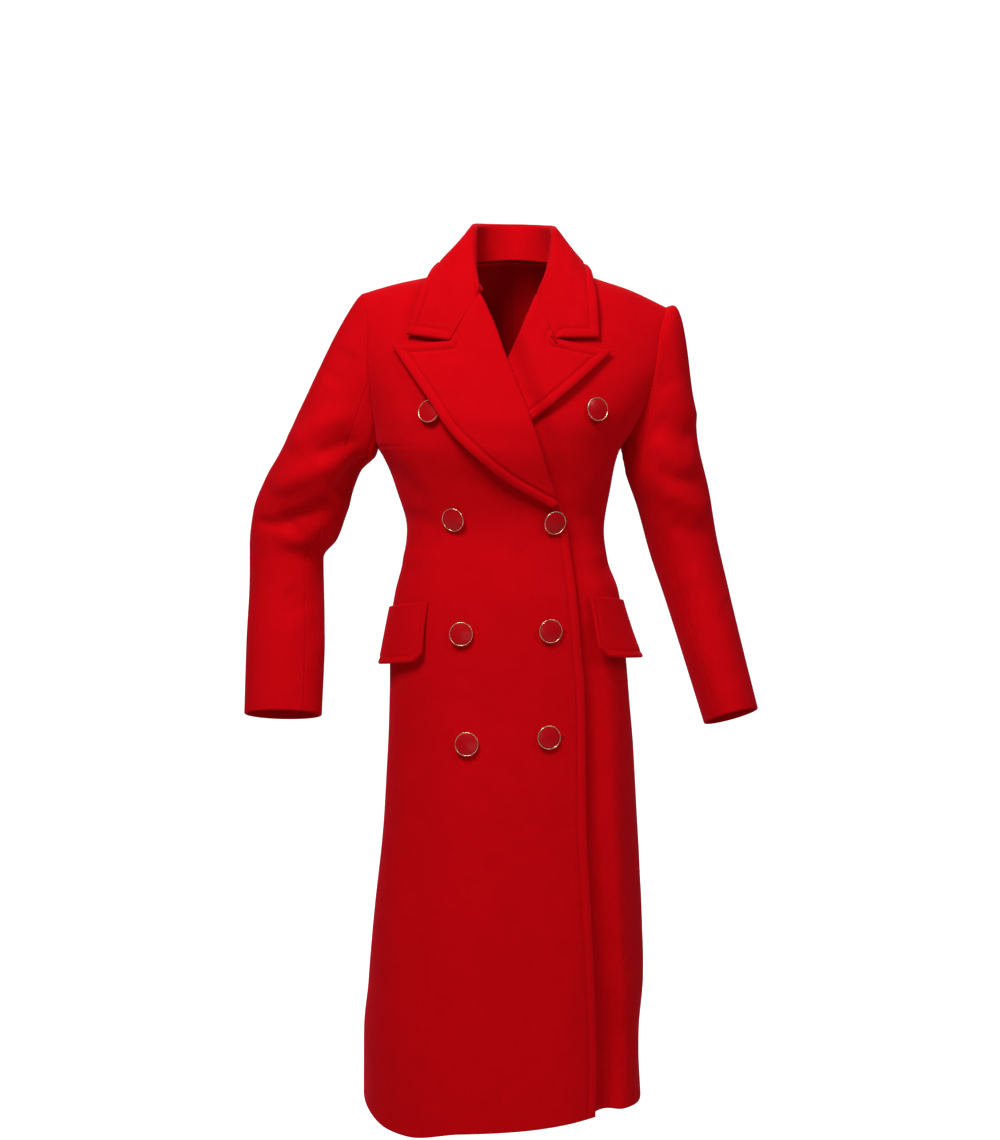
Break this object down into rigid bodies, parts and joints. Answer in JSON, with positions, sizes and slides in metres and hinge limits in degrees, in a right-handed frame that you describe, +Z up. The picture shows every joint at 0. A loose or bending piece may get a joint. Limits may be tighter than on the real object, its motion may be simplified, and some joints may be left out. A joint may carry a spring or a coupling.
{
  "type": "double-breasted coat",
  "caption": "Long fitted wool coat, double-breasted, with notched collar and peaked lapels, pocket flaps and two-piece sleeves.",
  "frame": {"origin": "midway between the neck ends of the two shoulder seams, where the wearer's shoulders carry the coat", "axes": "+Z up, the front faces -Y, the wearer's left is +X"},
  "size_m": [0.6638, 0.3299, 1.159],
  "materials": {
    "wool": "matt felted wool, soft nap",
    "button_face": "glossy domed",
    "button_rim": "polished"
  },
  "bodies": {
    "root": {"front_right": "wool", "back_right": "wool", "lapel_right": "wool", "pocket_flap_right": "wool", "front_left": "wool", "back_left": "wool", "lapel_left": "wool", "pocket_flap_left": "wool", "sleeve_right_top": "wool", "sleeve_right_under": "wool", "sleeve_left_top": "wool", "sleeve_left_under": "wool", "collar": "wool", "button_right_1_face": "button_face", "button_right_1_rim": "button_rim", "button_right_2_face": "button_face", "button_right_2_rim": "button_rim", "button_right_3_face": "button_face", "button_right_3_rim": "button_rim", "button_right_4_face": "button_face", "button_right_4_rim": "button_rim", "button_left_1_face": "button_face", "button_left_1_rim": "button_rim", "button_left_2_face": "button_face", "button_left_2_rim": "button_rim", "button_left_3_face": "button_face", "button_left_3_rim": "button_rim", "button_left_4_face": "button_face", "button_left_4_rim": "button_rim"}
  },
  "joints": []
}
